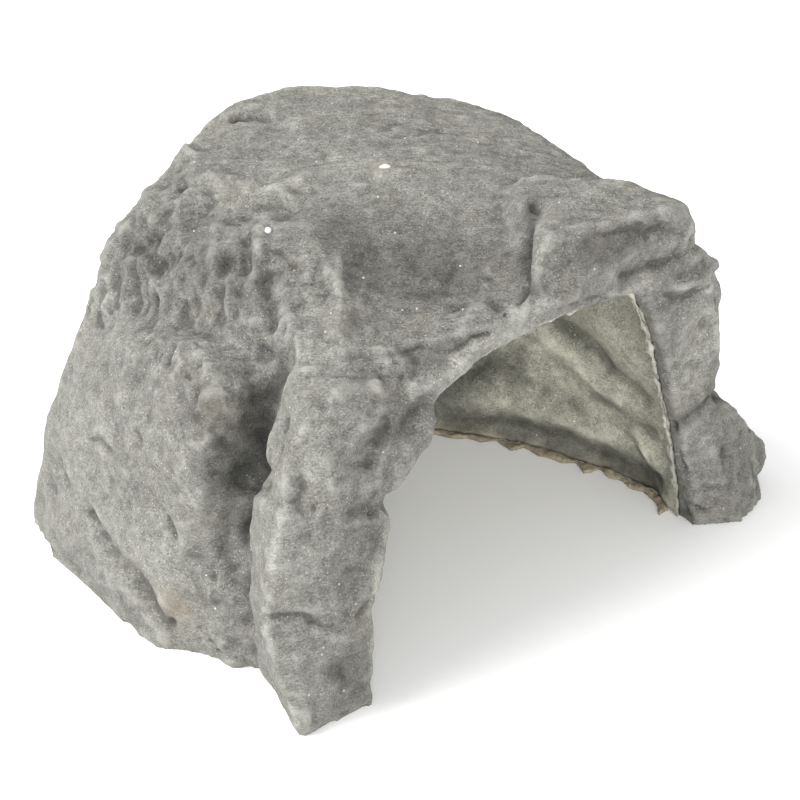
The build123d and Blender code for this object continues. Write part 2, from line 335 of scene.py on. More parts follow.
BACK_STROKES = [
    groove(4.0, 3.0, (96, 92, 84), (92, 94, 60), (88, 94, 36), (90, 91, 8)),
    groove(3.6, 2.6, (118, 60, 84), (120, 58, 58), (120, 56, 34), (119, 58, 10)),
    swell(9.0, 2.6, (108, 76, 66), (106, 76, 30)),
    swell(9.0, 2.4, (128, 34, 30), (126, 34, 58)),
    dip(8.0, 2.4, (76, 104, 74), (70, 108, 48)),
    groove(3.2, 2.4, (44, 110, 80), (40, 113, 58), (48, 117, 34), (44, 119, 10)),
    groove(2.6, 1.8, (48, 117, 34), (62, 112, 30), (74, 106, 34)),
    swell(10.0, 2.6, (24, 112, 52), (20, 116, 26)),
    swell(8.0, 2.2, (60, 108, 66)),
    groove(3.4, 2.4, (4, 108, 58), (8, 112, 40), (2, 114, 20), (6, 117, 4)),
    groove(2.4, 1.6, (126, 20, 82), (130, 24, 60), (129, 30, 44)),
    pit(2.4, 2.0, (58, 112, 56)),
    pit(2.0, 1.8, (104, 80, 50)),
    pit(2.6, 2.2, (124, 44, 72)),
    dip(7.0, 2.0, (10, 112, 78), (22, 108, 80)),
]

LINING_STROKES = [
    swell(6.5, 2.4, (110, 60, 46), (116, 49, 37), (121, 33, 29), (124, 20, 20), (126, 13, 12)),
    swell(9.0, 2.2, (113, 54, 66), (118, 42, 56), (121, 30, 49), (123, 17, 42)),
    dip(5.0, 1.6, (114, 54, 46), (118, 43, 41), (121, 29, 36), (124, 17, 31)),
    dip(7.0, 1.7, (104, 68, 16), (109, 61, 22), (113, 54, 20), (119, 40, 17)),
    dip(4.0, 1.5, (120, 32, 23), (123, 23, 22), (125, 15, 20)),
    groove(2.4, 0.9, (110, 61, 28), (109, 62, 22), (106, 65, 18)),
    swell(6.0, 1.4, (102, 68, 9), (112, 54, 12), (119, 41, 11), (123, 28, 12)),
    dip(6.0, 1.4, (88, 84, 6), (102, 68, 5), (110, 57, 6), (118, 43, 6), (124, 25, 5), (126, 14, 4)),
    swell(2.2, 0.9, (125, 18, 14), (125, 15, 8), (126, 13, 3)),
    swell(8.0, 2.0, (60, 106, 60), (64, 104, 30), (58, 108, 8)),
    swell(9.0, 2.0, (16, 110, 50), (10, 108, 24)),
    dip(8.0, 1.6, (40, 112, 40)),
    swell(7.0, 1.8, (8, 66, 50), (0, 60, 30), (-1, 64, 8)),
    swell(7.0, 1.6, (50, 60, 84), (70, 50, 86), (96, 44, 84)),
]

# Painted shade for the lining: along the foot of the wall, in its pockets, under the roof and beside its
# ridges, with a painted highlight on one ridge. Their heights change the tone.
LINING_SHADE_AND_HIGHLIGHTS = [
    dip(
        8.5, 0.54,
        (84, 88, 5), (98, 73, 5), (106, 63, 5), (113, 52, 5), (119, 41, 5), (124, 25, 4), (126, 14, 4),
    ),
    dip(9.0, 0.50, (102, 70, 15), (106, 66, 18), (112, 57, 23)),
    dip(5.0, 0.30, (114, 54, 46), (117, 46, 42), (121, 29, 35)),
    dip(4.5, 0.28, (120, 33, 24), (124, 17, 21)),
    swell(5.0, 0.12, (116, 49, 35), (121, 33, 28)),
    dip(16.0, 0.24, (110, 60, 60), (118, 44, 62)),
    dip(9.0, 0.26, (92, 80, 20), (99, 72, 28)),
]


# Patches of painted shade in creases, hollows and facets turned from the light, painted highlights along
# edges, crests and the roof's ridge, and skin that is bare and dark or frosted and pale, as on the forehead
# and the cheek, where they also stand in for how the light falls. Their heights change the tone.
SHADE_HIGHLIGHT_AND_TONE_PATCHES = [
    dip(17.0, 0.34, (50, 48, 92), (53, 38, 90), (60, 30, 90), (66, 24, 89)),
    dip(7.0, 0.18, (47, 28, 87), (56, 22, 87)),
    dip(4.5, 0.16, (49, 38, 89), (43, 29, 86), (40, 21, 83.5)),
    dip(2.2, 0.36, (28, 18, 81), (35, 14, 80), (44, 11, 80.4), (52, 8, 80.5)),
    swell(2.4, 0.14, (44, 42, 89), (37, 34, 86), (32, 26, 83.5)),
    dip(14.0, 0.12, (30, 92, 88), (36, 74, 89)),
    swell(12.0, 0.13, (130, -3, 24), (141, -3, 14)),
    dip(14.0, 0.26, (18, 88, 78), (22, 70, 81), (27, 50, 84)),
    dip(11.0, 0.10, (4, 82, 56), (4, 66, 62), (8, 56, 70)),
    dip(11.0, 0.38, (6, 41, 66), (12, 35, 64), (9, 35, 53)),
    dip(5.0, 0.40, (19, 32, 72), (15, 31, 62), (12, 29, 50), (10, 29, 38)),
    dip(3.0, 0.34, (10, 29, 38), (8, 27, 24), (7, 26, 10)),
    dip(6.0, 0.30, (25, 7, 62.5), (32, 7, 66), (39, 7, 70)),
    swell(12.0, 0.07, (8, 4, 42), (18, 8, 70)),
    swell(26.0, 0.09, (88, 84, 95), (108, 58, 96)),
    swell(12.0, 0.08, (92, 20, 98), (108, 12, 97)),
    swell(2.0, 0.14, (17, 8, 61), (22, 9, 68), (30, 9, 73)),
    dip(7.0, 0.22, (24, 3, 44), (18, 3, 38)),
    dip(3.5, 0.30, (20, 4, 53), (30, 4, 50)),
    dip(7.0, 0.26, (12, 0, 17), (15, 0, 8)),
    dip(2.6, 0.32, (-9, 74, 21), (-9, 64, 18), (-9, 57, 15), (-8, 50, 12), (-6, 44, 7)),
    dip(2.2, 0.34, (-1, 45, 36), (-2, 42, 31)),
    swell(1.6, 0.20, (-3, 8, 27), (3, 5, 28.5), (9, 0, 26), (14, 0, 24), (20, 0, 25.5)),
    swell(1.7, 0.22, (-4, 7, 25), (-2, 3, 14), (0, 0, 2)),
    swell(2.2, 0.18, (-3, 8, 29), (-2, 8, 38), (-1, 8, 46), (4, 8, 57)),
    swell(1.8, 0.28, (21, -1, 3), (22, 0, 16), (22, 1, 25), (24, 1, 34), (29, 4, 48)),
    swell(1.8, 0.14, (26, 5, 57), (31, 5, 63), (35, 7, 69), (38, 7, 73)),
    dip(5.0, 0.28, (86, 5, 92), (96, 4, 92), (106, 2, 92)),
    dip(4.5, 0.42, (87, 24, 98), (82, 19, 96), (75, 13, 91), (70.5, 7, 86)),
    dip(6.0, 0.20, (136, -5, 14), (132, -4, 24)),
    dip(4.0, 0.32, (136, 4, 35), (126, 0, 38), (118, 0, 35)),
    dip(3.0, 0.25, (98, 3, 84), (112, 1, 83)),
    swell(14.0, 0.08, (-8, 86, 30), (-8, 62, 16), (-4, 48, 24)),
    swell(6.0, 0.16, (18, 10, 74), (14, 8, 62)),
    swell(5.0, 0.16, (2, 4, 44), (0, 4, 34)),
    swell(10.0, 0.38, (124, 0, 72), (122, 0, 58), (120, 0, 46)),
    swell(8.0, 0.16, (40, 78, 91), (64, 66, 96), (84, 52, 98)),
    swell(3.0, 0.14, (42, 52, 90), (38, 41, 88), (31, 28, 84), (25, 19, 80)),
    swell(4.0, 0.34, (40, 8, 75.5), (46, 7, 75), (60, 6, 79), (74, 5, 82)),
    swell(2.6, 0.34, (96, 3, 80), (104, 3, 78.5), (113, 0, 76.5), (122, 0, 76)),
    swell(2.6, 0.20, (2, 39, 62), (0, 42, 52), (1, 39, 46), (3, 36, 34), (5, 32, 20), (6, 29, 8)),
]


# Spots where the resin's own tan shows.
STAINS = [
    swell(7.0, 0.9, (-4, 44, 13)),
    swell(8.0, 0.6, (8, 38, 66)),
    swell(3.5, 0.7, (70, 58, 97)),
]

# Where the boulders run into each other so gently that no edge is left between them.
MELTED = [
    swell(7.0, 1.0, (14, 98, 70), (13, 86, 67), (13, 70, 69), (13, 56, 76), (19, 42, 73), (22, 32, 74)),
    swell(8.0, 1.0, (24, 24, 79), (20, 30, 72), (16, 31, 60)),
    swell(5.0, 1.0, (10, 30, 46), (9, 30, 30), (6, 28, 10)),
    swell(4.5, 1.0, (91, 34, 99), (88, 29, 98)),
    swell(6.0, 1.0, (7, 92, 61), (7, 84, 65)),
]


def grain_noise(points: np.ndarray, size: float, octaves: int = 3) -> np.ndarray:
    """Layered noise from about -1 to 1.

    Args:
        points: places in millimetres, stretched by the caller where the pattern has a direction.
        size: width of the largest lumps, in millimetres.
        octaves: how many layers, each half as wide as the last.

    Returns:
        One value for each point.
    """
    scaled = points / size
    return np.array([noise.fractal(Vector(p), 1.0, 2.0, octaves) for p in scaled.tolist()]) * 1.6


def drift(points: np.ndarray, size: float, amount: float) -> np.ndarray:
    """The points, each moved a little by smooth noise, so that strokes and layers wander."""
    scaled = (points / size).tolist()
    return points + amount * np.array([noise.noise_vector(Vector(p))[:] for p in scaled])


def between(values: np.ndarray, low: float, high: float) -> np.ndarray:
    """A smooth rise from 0 at low to 1 at high."""
    share = np.clip((values - low) / (high - low), 0.0, 1.0)
    return share * share * (3.0 - 2.0 * share)


class Clay:
    """A fine mesh being carved.

    Args:
        piece: the object whose mesh is carved. It is at the origin, unturned.
    """

    def __init__(self, piece: bpy.types.Object) -> None:
        """Reads the mesh's points and edges."""
        self.mesh = piece.data
        count = len(self.mesh.vertices)
        self.metres = np.empty(count * 3, dtype=np.float64)
        self.mesh.vertices.foreach_get("co", self.metres)
        self.points = self.metres.reshape(-1, 3) / MM - FOOT_CORNER
        self.standing = self.points[:, 2] < STANDING_HEIGHT
        ends = np.empty(len(self.mesh.edges) * 2, dtype=np.int64)
        self.mesh.edges.foreach_get("vertices", ends)
        pairs = ends.reshape(-1, 2)
        self.starts = np.concatenate([pairs[:, 0], pairs[:, 1]])
        self.ends = np.concatenate([pairs[:, 1], pairs[:, 0]])
        self.links = np.maximum(np.bincount(self.starts, minlength=count), 1)

    def normals(self) -> np.ndarray:
        """The outward direction at each vertex."""
        flat = np.empty(len(self.points) * 3, dtype=np.float64)
        self.mesh.vertices.foreach_get("normal", flat)
        return flat.reshape(-1, 3)

    def averaged(self, values: np.ndarray, rounds: int) -> np.ndarray:
        """Values smoothed over neighbouring vertices, round after round."""
        held = values.astype(float)
        for _ in range(rounds):
            columns = held.reshape(len(held), -1)
            sums = [np.bincount(self.starts, weights=c[self.ends], minlength=len(held)) for c in columns.T]
            held = (np.stack(sums, axis=1) / self.links[:, None]).reshape(held.shape)
        return held

    def soften(self, rounds: int, share: np.ndarray) -> None:
        """Rounds the edges, by how much of the share each vertex has."""
        for _ in range(rounds):
            mean = self.averaged(self.points, 1)
            self.points += 0.5 * share[:, None] * (mean - self.points)
        self.write()

    def lift(self, amount: np.ndarray, along: np.ndarray) -> None:
        """Moves each vertex out along its direction, in millimetres. What stands on the floor stays flat."""
        self.points += amount[:, None] * along
        self.points[self.standing, 2] = 0.0
        self.points[:, 2] = np.maximum(self.points[:, 2], 0.0)
        self.write()

    def write(self) -> None:
        """Puts the carved points back in the mesh."""
        flat = ((self.points + FOOT_CORNER) * MM).astype(np.float32).ravel()
        self.mesh.vertices.foreach_set("co", flat)
        self.mesh.update()

    def paint(self, name: str, values: np.ndarray) -> None:
        """Stores one value from 0 to 1 for each vertex, for a material to read."""
        layer = self.mesh.attributes.new(name, "FLOAT", "POINT")
        layer.data.foreach_set("value", np.clip(values, 0.0, 1.0).astype(np.float32))

    def hollowness(self, rounds: int, depth: float) -> np.ndarray:
        """How far each vertex lies below the surface around it: 0.5 is level, 1 a deep hollow, 0 a crest."""
        gap = ((self.averaged(self.points, rounds) - self.points) * self.normals()).sum(axis=1)
        return 0.5 + 0.5 * np.clip(gap / depth, -1.0, 1.0)


def only(piece: bpy.types.Object) -> None:
    """Makes a piece the one selected, active object."""
    bpy.ops.object.select_all(action="DESELECT")
    piece.select_set(True)
    bpy.context.view_layer.objects.active = piece


def finish_with(piece: bpy.types.Object, kind: str, **settings: object) -> None:
    """Adds a modifier with its settings and applies it."""
    only(piece)
    modifier = piece.modifiers.new(kind.lower(), kind)
    for name, value in settings.items():
        setattr(modifier, name, value)
    bpy.ops.object.modifier_apply(modifier=modifier.name)


def cast_from(node: str, name: str) -> bpy.types.Object:
    """A new piece with the merged mesh of a CAD node."""
    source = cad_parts[node]
    piece = bpy.data.objects.new(name, source.data.copy())
    bpy.context.scene.collection.objects.link(piece)
    piece.data.name = name
    piece.data.materials.clear()
    only(piece)
    bpy.ops.object.mode_set(mode="EDIT")
    bpy.ops.mesh.select_all(action="SELECT")
    bpy.ops.mesh.remove_doubles(threshold=MERGE_GAP * MM)
    bpy.ops.object.mode_set(mode="OBJECT")
    return piece


def tree_of(mesh: bpy.types.Mesh) -> BVHTree:
    """A search tree over a mesh's faces."""
    return BVHTree.FromPolygons([v.co for v in mesh.vertices], [p.vertices for p in mesh.polygons])


def near(piece: bpy.types.Object, node: str, gap: float) -> np.ndarray:
    """1 for each vertex of a piece that lies within a gap, in millimetres, of a CAD node, and 0 elsewhere."""
    tree = tree_of(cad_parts[node].data)
    found = [tree.find_nearest(vertex.co, gap * MM)[0] is not None for vertex in piece.data.vertices]
    return np.array(found, dtype=float)


def thin_out(piece: bpy.types.Object, hidden: np.ndarray, faces: int) -> None:
    """Thins the mesh where it is hidden until the piece has about a number of triangles."""
    group = piece.vertex_groups.new(name="hidden")
    group.add(np.flatnonzero(hidden > 0.5).tolist(), 1.0, "REPLACE")
    triangles = 2 * len(piece.data.polygons)
    if triangles > faces:
        share = faces / triangles
        finish_with(piece, "DECIMATE", ratio=share, vertex_group=group.name, vertex_group_factor=10.0)
    piece.vertex_groups.remove(piece.vertex_groups["hidden"])


class Socket:
    """A shader value that adds, subtracts, multiplies and clamps by adding Math nodes."""

    def __init__(self, maker: "Recipe", source: bpy.types.NodeSocket) -> None:
        """Wraps an output of a recipe's node."""
        self.maker, self.source = maker, source

    def _with(self, operation: str, first: object, second: object) -> "Socket":
        """One Math node on two values or Sockets."""
        return self.maker.node("ShaderNodeMath", {"operation": operation}, {0: first, 1: second})

    def __add__(self, other: object) -> "Socket":
        """This plus another."""
        return self._with("ADD", self, other)

    def __radd__(self, other: object) -> "Socket":
        """Another plus this."""
        return self._with("ADD", other, self)

    def __sub__(self, other: object) -> "Socket":
        """This less another."""
        return self._with("SUBTRACT", self, other)

    def __rsub__(self, other: object) -> "Socket":
        """Another less this."""
        return self._with("SUBTRACT", other, self)

    def __mul__(self, other: object) -> "Socket":
        """This times another."""
        return self._with("MULTIPLY", self, other)

    def __rmul__(self, other: object) -> "Socket":
        """Another times this."""
        return self._with("MULTIPLY", other, self)

    def rise(self, low: float, high: float) -> "Socket":
        """A smooth rise from 0 at low to 1 at high."""
        inputs = {"Value": self, "From Min": low, "From Max": high}
        return self.maker.node("ShaderNodeMapRange", {"interpolation_type": "SMOOTHSTEP"}, inputs)


class Recipe:
    """The node tree of one material."""

    def __init__(self, name: str) -> None:
        """Makes an empty material with its shader."""
        self.material = bpy.data.materials.new(name)
        self.material.use_nodes = True
        self.tree = self.material.node_tree
        self.shader = self.tree.nodes["Principled BSDF"]
        self.place = self.node("ShaderNodeTexCoord", {}, {}, "Object")

    def node(self, kind: str, settings: dict, inputs: dict, output: object = 0) -> Socket:
        """Adds a node.

        Args:
            kind: the node's type.
            settings: its own settings, which are set first.
            inputs: a value or a Socket for each of its inputs, by name or number.
            output: the output to use, by name or number.

        Returns:
            That output.
        """
        made = self.tree.nodes.new(kind)
        for name, value in settings.items():
            setattr(made, name, value)
        for key, value in inputs.items():
            self.feed(made.inputs[key], value)
        return Socket(self, made.outputs[output])

    def feed(self, target: bpy.types.NodeSocket, value: object) -> None:
        """Links a Socket to an input, or sets its value."""
        if isinstance(value, Socket):
            self.tree.links.new(value.source, target)
        else:
            target.default_value = value

    def clouds(self, size: float, detail: float = 3.0, length: float = 1.0, warp: float = 0.0) -> Socket:
        """Cloudy noise from 0 to 1.

        Args:
            size: width of its lumps, in millimetres.
            detail: how many finer layers it has.
            length: how far it is drawn out along the brushed lines.
            warp: how far it is distorted.

        Returns:
            The noise.
        """
        turn = (0.0, 0.0, radians(BRUSH_TURN))
        inputs = {"Vector": self.place, "Rotation": turn, "Scale": (length, 1.0, 1.0)}
        place = self.node("ShaderNodeMapping", {"vector_type": "TEXTURE"}, inputs)
        inputs = {"Vector": place, "Scale": 1.0 / (size * MM), "Detail": detail, "Distortion": warp}
        return self.node("ShaderNodeTexNoise", {}, inputs)

    def painted(self, name: str) -> Socket:
        """A value that the mesh carries."""
        return self.node("ShaderNodeAttribute", {"attribute_name": name}, {}, "Fac")

    def mix(self, share: object, first: object, second: object) -> Socket:
        """A colour between two colours."""
        inputs = {0: share, 6: _opaque(first), 7: _opaque(second)}
        return self.node("ShaderNodeMix", {"data_type": "RGBA"}, inputs, 2)

    def scaled(self, colour: Socket, factor: object) -> Socket:
        """A colour made darker or lighter by a factor."""
        return self.node("ShaderNodeVectorMath", {"operation": "SCALE"}, {0: colour, "Scale": factor})

    def specks(self, spacing: float, radius: float, share: float) -> Socket:
        """1 inside scattered round specks, 0 elsewhere. Spacing and radius are in millimetres."""
        inputs = {"Vector": self.place, "Scale": 1.0 / (spacing * MM)}
        far = self.node("ShaderNodeTexVoronoi", {}, inputs, "Distance")
        tint = self.node("ShaderNodeTexVoronoi", {}, inputs, "Color")
        chance = self.node("ShaderNodeSeparateColor", {}, {0: tint}, 0)
        edge = radius / spacing
        return (1.0 - far.rise(edge * 0.6, edge)) * chance.rise(1.0 - share, 1.0 - share + 0.02)


def _opaque(colour: object) -> object:
    """A colour with full alpha, or the Socket itself."""
    return colour if isinstance(colour, Socket) else (*colour, 1.0)


@dataclass(frozen=True)
class ResinFinish:
    """Matt cast resin filled with ground stone.

    Args:
        name: the material's name.
        dark: colour of its dark patches.
        light: colour of its light patches.
        tint: colour of the resin where little filler shows.
        tint_share: how much of the surface is tinted, from 0 to 1.
        dirt_and_shade: how much its hollows darken with painted shade and dirt.
        speck_share: how many of the possible white specks there are.
        roughness: of the skin.
        grain: height of the sandy skin, in millimetres.
    """

    name: str
    dark: Colour
    light: Colour
    tint: Colour
    tint_share: float
    dirt_and_shade: float
    speck_share: float
    roughness: float
    grain: float

    def make(self) -> bpy.types.Material:
        """Builds the material."""
        recipe = Recipe(self.name)
        hollow = recipe.painted("hollow")
        patches = recipe.clouds(16.0, 4.0)
        mottle = recipe.clouds(2.6, 5.0)
        sand = recipe.clouds(0.55, 3.0)
        fibres = recipe.clouds(0.8, 4.0, 1.6, 2.5)
        brushed = (recipe.clouds(0.6, 3.0, 6.0, 1.8) - 0.5) * recipe.painted("brush")
        tone = patches * 0.24 + mottle * 0.40 + sand * 0.32 + fibres * 0.90 + brushed * 0.3 - 0.43
        body = recipe.mix(tone.rise(0.24, 0.80), self.dark, self.light)
        stain = recipe.clouds(9.0, 5.0).rise(0.52, 0.75) * self.tint_share + recipe.painted("stain") * 0.7
        body = recipe.mix(stain, body, self.tint)
        # Painted shade, together with dirt, darkens the hollows.
        deep = hollow.rise(0.52, 0.95) * self.dirt_and_shade
        body = recipe.mix(deep, body, tuple(c * 0.3 for c in self.dark))
        # A painted highlight lightens the crests, standing also for rubbed wear.
        crest = (1.0 - hollow.rise(0.05, 0.42)) * recipe.clouds(5.0).rise(0.3, 0.7) * 0.5
        body = recipe.mix(crest, body, tuple(min(1.0, c * 1.35) for c in self.light))
        pale = recipe.specks(0.9, 0.19, self.speck_share)
        frosted = recipe.clouds(12.0).rise(0.36, 0.64) * 0.6 + 0.12
        body = recipe.mix(pale * frosted, body, tuple(min(1.0, c * 2.2) for c in self.light))
        flecks = recipe.specks(3.6, 0.32, self.speck_share * 0.3)
        body = recipe.mix(flecks * 0.7, body, tuple(min(1.0, c * 2.6) for c in self.light))
        # The painted tone scales the colour: painted shade in creases and hollows, painted highlights on
        # edges and crests, and bare, dark skin and frosted, pale skin.
        body = recipe.scaled(body, recipe.painted("tone") * 1.3 + 0.35)
        dark_specks = recipe.specks(1.1, 0.2, self.speck_share * 1.3)
        body = recipe.mix(dark_specks * 0.5, body, tuple(c * 0.45 for c in self.dark))
        recipe.feed(recipe.shader.inputs["Base Color"], body)
        recipe.feed(recipe.shader.inputs["Roughness"], self.roughness + mottle * 0.2 - 0.1)
        recipe.shader.inputs["Specular IOR Level"].default_value = 0.32
        height = sand * 0.6 + mottle * 0.9 + fibres * 1.1 + brushed * 0.9 + pale * 0.25
        bump = recipe.node(
            "ShaderNodeBump", {}, {"Strength": 1.0, "Distance": self.grain * MM, "Height": height}
        )
        recipe.feed(recipe.shader.inputs["Normal"], bump)
        return recipe.material


FACE_RESIN = ResinFinish(
    name="face_resin",
    dark=(0.086, 0.084, 0.072),
    light=(0.272, 0.269, 0.243),
    tint=(0.25, 0.215, 0.16),
    tint_share=0.18,
    dirt_and_shade=0.50,
    speck_share=0.42,
    roughness=0.74,
    grain=0.36,
)
BACKING_RESIN = ResinFinish(
    name="backing_resin",
    dark=(0.23, 0.225, 0.178),
    light=(0.66, 0.65, 0.55),
    tint=(0.34, 0.295, 0.205),
    tint_share=0.12,
    dirt_and_shade=0.45,
    speck_share=0.30,
    roughness=0.80,
    grain=0.22,
)
SEAM_RESIN = ResinFinish(
    name="seam_resin",
    dark=(0.22, 0.213, 0.182),
    light=(0.45, 0.44, 0.375),
    tint=(0.44, 0.39, 0.30),
    tint_share=0.25,
    dirt_and_shade=0.5,
    speck_share=0.10,
    roughness=0.65,
    grain=0.12,
)
RIM_RESIN = ResinFinish(
    name="rim_resin",
    dark=(0.17, 0.145, 0.10),
    light=(0.40, 0.35, 0.26),
    tint=(0.46, 0.36, 0.23),
    tint_share=0.25,
    dirt_and_shade=0.4,
    speck_share=0.08,
    roughness=0.60,
    grain=0.12,
)


@dataclass(frozen=True)
class GrainFinish:
    """White mineral, faintly glassy."""

    name: str = "white_grain"
    colour: Colour = (0.74, 0.74, 0.72)

    def make(self) -> bpy.types.Material:
        """Builds the material."""
        recipe = Recipe(self.name)
        tone = recipe.mix(recipe.painted("bright"), tuple(c * 0.5 for c in self.colour), self.colour)
        recipe.feed(recipe.shader.inputs["Base Color"], tone)
        recipe.shader.inputs["Roughness"].default_value = 0.35
        return recipe.material


@dataclass
class RockFace:
    """The face coat with the rock's relief.

    Args:
        lumps: height of the broad lumps, in millimetres, as are the next four.
        crust: height of the rough skin.
        knobs: height of the knobs on the legs and the sides.
        gouges: depth of the torn gouges on the flank's top.
        lines: height of the brushed lines of the roof.
        voxel: fineness of the mesh, in millimetres.
        softening: rounds of smoothing of the CAD's edges.
        melting: rounds of smoothing where the boulders run into each other.
        triangles: how many the piece may have.
        strokes: the carving.
    """

    lumps: float = 0.34
    crust: float = 0.17
    knobs: float = 0.36
    gouges: float = 1.25
    lines: float = 0.24
    voxel: float = 0.85
    softening: int = 9
    melting: int = 60
    triangles: int = 190_000
    strokes: list[Stroke] = field(
        default_factory=lambda: [
            *ROOF_STROKES, *FOREHEAD_STROKES, *BROW_STROKES, *CHEEK_STROKES, *RIGHT_FOOT_STROKES,
            *FLANK_TOP_STROKES, *SHOULDER_STROKES, *FLANK_LOW_STROKES, *LEFT_LEG_STROKES, *BACK_STROKES,
        ]
    )

    def build(self) -> bpy.types.Object:
        """Makes the carved, finished piece."""
        piece = cast_from("face_shell", "rock_face")
        finish_with(piece, "REMESH", mode="VOXEL", voxel_size=self.voxel * MM)
        hidden = near(piece, "inner_lining", HIDDEN_GAP)
        clay = Clay(piece)
        shown = clay.averaged(1.0 - hidden, 3) * (1.0 - hidden)
        clay.soften(self.softening, shown * (1.0 - clay.standing))
        melted = np.clip(1.2 * sum(patch.lift(clay.points) for patch in MELTED), 0.0, 1.0)
        clay.soften(self.melting, shown * melted * (1.0 - clay.standing))
        self.carve(clay, shown)
        thin_out(piece, hidden, self.triangles)
        self.dress(piece)
        return piece

    def carve(self, clay: Clay, shown: np.ndarray) -> None:
        """Cuts the strokes and the layers of noise."""
        out = clay.normals()
        places = clay.points
        wandering = drift(drift(places, 9.0, 2.2), 3.0, 0.7)
        vigour = 0.75 + 0.55 * grain_noise(places + 70.0, 8.0, 2)
        height = np.clip(vigour, 0.5, 1.25) * sum(stroke.lift(wandering) for stroke in self.strokes)
        height += self.texture(places, out)
        clay.lift(height * shown, clay.averaged(out, 2))

    def texture(self, places: np.ndarray, out: np.ndarray) -> np.ndarray:
        """The lumps, brushed lines and sandy waves between the strokes, in millimetres."""
        turned = np.stack([places @ ALONG_LINES, places @ ACROSS_LINES, places[:, 2]], axis=1)
        level = between(out[:, 2], 0.75, 0.93)
        wide = drift(places, 10.0, 5.0)
        forehead = between(out[:, 2], 0.6, 0.8) * between(-wide[:, 1], -62.0, -44.0)
        forehead = forehead * between(places[:, 0], 35.0, 45.0) * (1.0 - between(wide[:, 0], 66.0, 84.0))
        roof = level * (1.0 - forehead)
        lumps = grain_noise(drift(places, 6.0, 1.2), 14.0, 2)
        flank_top = between(places[:, 2] + 0.26 * places[:, 1] + 6.0 * lumps, 77.0, 95.0)
        flank_top *= between(-places[:, 0], -46.0, -36.0) * (1.0 - 0.7 * roof)
        crust = grain_noise(places + 40.0, 3.4, 3)
        knobs = grain_noise(places + 15.0, 7.0, 2)
        torn = grain_noise(drift(turned, 8.0, 2.5) * np.array([1.0, 0.45, 0.45]), 5.2, 3)
        gouges = np.maximum(0.5 - 1.5 * np.abs(torn), -1.3)
        lines = grain_noise(drift(turned, 26.0, 7.0) * np.array([0.14, 1.0, 1.0]), 2.0, 2)
        height = self.lumps * lumps + self.crust * crust
        height += self.knobs * knobs * (1.0 - roof) * (1.0 - forehead)
        height += flank_top * (0.30 * lumps + self.gouges * gouges + 0.08 * crust)
        height -= forehead * (0.26 * lumps + 0.07 * crust)
        height += roof * (self.lines * lines - 0.04 * crust)
        return height

    def dress(self, piece: bpy.types.Object) -> None:
        """Paints the hollows, the stains and the tone with its painted shade and highlights, and gives the
        finish.
        """
        clay = Clay(piece)
        clay.paint("hollow", 0.4 * clay.hollowness(3, 0.16) + 0.6 * clay.hollowness(16, 0.8))
        clay.paint("stain", sum(stain.lift(clay.points) for stain in STAINS))
        frost = 0.05 * grain_noise(clay.points + 5.0, 6.0, 2) + 0.07 * grain_noise(clay.points + 25.0, 2.4, 2)
        wobbly = drift(clay.points, 7.0, 3.0)
        # The tone carries painted shade in creases and hollows and painted highlights on edges and crests,
        # with bare and frosted skin.
        clay.paint("tone", LEVEL_TONE + frost + sum(patch.lift(wobbly) for patch in SHADE_HIGHLIGHT_AND_TONE_PATCHES))
        clay.paint("brush", between(clay.averaged(clay.normals(), 6)[:, 2], 0.5, 0.9))
        bpy.ops.object.shade_smooth()
        piece.data.materials.append(FACE_RESIN.make())


@dataclass
class CaveLining:
    """The backing coat inside the chamber.

    Args:
        deepest: how far a hollow may eat into the coat, in millimetres.
        rim_stain: height of the tan band above the rim, in millimetres.
        voxel: fineness of the mesh, in millimetres.
        softening: rounds of smoothing of the CAD's edges.
        triangles: how many the piece may have.
    """

    deepest: float = 1.7
    rim_stain: float = 3.5
    voxel: float = 0.85
    softening: int = 10
    triangles: int = 150_000

    def build(self) -> bpy.types.Object:
        """Makes the piece."""
        piece = cast_from("inner_lining", "cave_lining")
        finish_with(piece, "REMESH", mode="VOXEL", voxel_size=self.voxel * MM)
        hidden = near(piece, "face_shell", HIDDEN_GAP)
        clay = Clay(piece)
        shown = clay.averaged(1.0 - hidden, 3) * (1.0 - hidden)
        clay.soften(self.softening, shown * (1.0 - clay.standing))
        wandering = drift(clay.points, 12.0, 2.0)
        height = 0.8 * sum(stroke.lift(wandering) for stroke in LINING_STROKES)
        height += 0.45 * grain_noise(wandering, 18.0, 2) + 0.07 * grain_noise(clay.points, 3.5, 2)
        clay.lift(np.maximum(height, -self.deepest) * shown, clay.averaged(clay.normals(), 4))
        thin_out(piece, hidden, self.triangles)
        clay = Clay(piece)
        clay.paint("hollow", 0.5 * clay.hollowness(3, 0.12) + 0.5 * clay.hollowness(16, 0.6))
        clay.paint("stain", 0.8 * (1.0 - between(clay.points[:, 2], 0.5, self.rim_stain)))
        wobbly = drift(clay.points, 5.0, 2.0)
        blotches = 0.08 * grain_noise(clay.points + 5.0, 8.0, 3)
        blotches += 0.07 * grain_noise(clay.points + 25.0, 3.0, 2)
        # The tone carries the lining's painted shade and highlight.
        clay.paint("tone", LEVEL_TONE + blotches + sum(patch.lift(wobbly) for patch in LINING_SHADE_AND_HIGHLIGHTS))
        clay.paint("brush", np.zeros(len(clay.points)))
        bpy.ops.object.shade_smooth()
        piece.data.materials.append(BACKING_RESIN.make())
        return piece


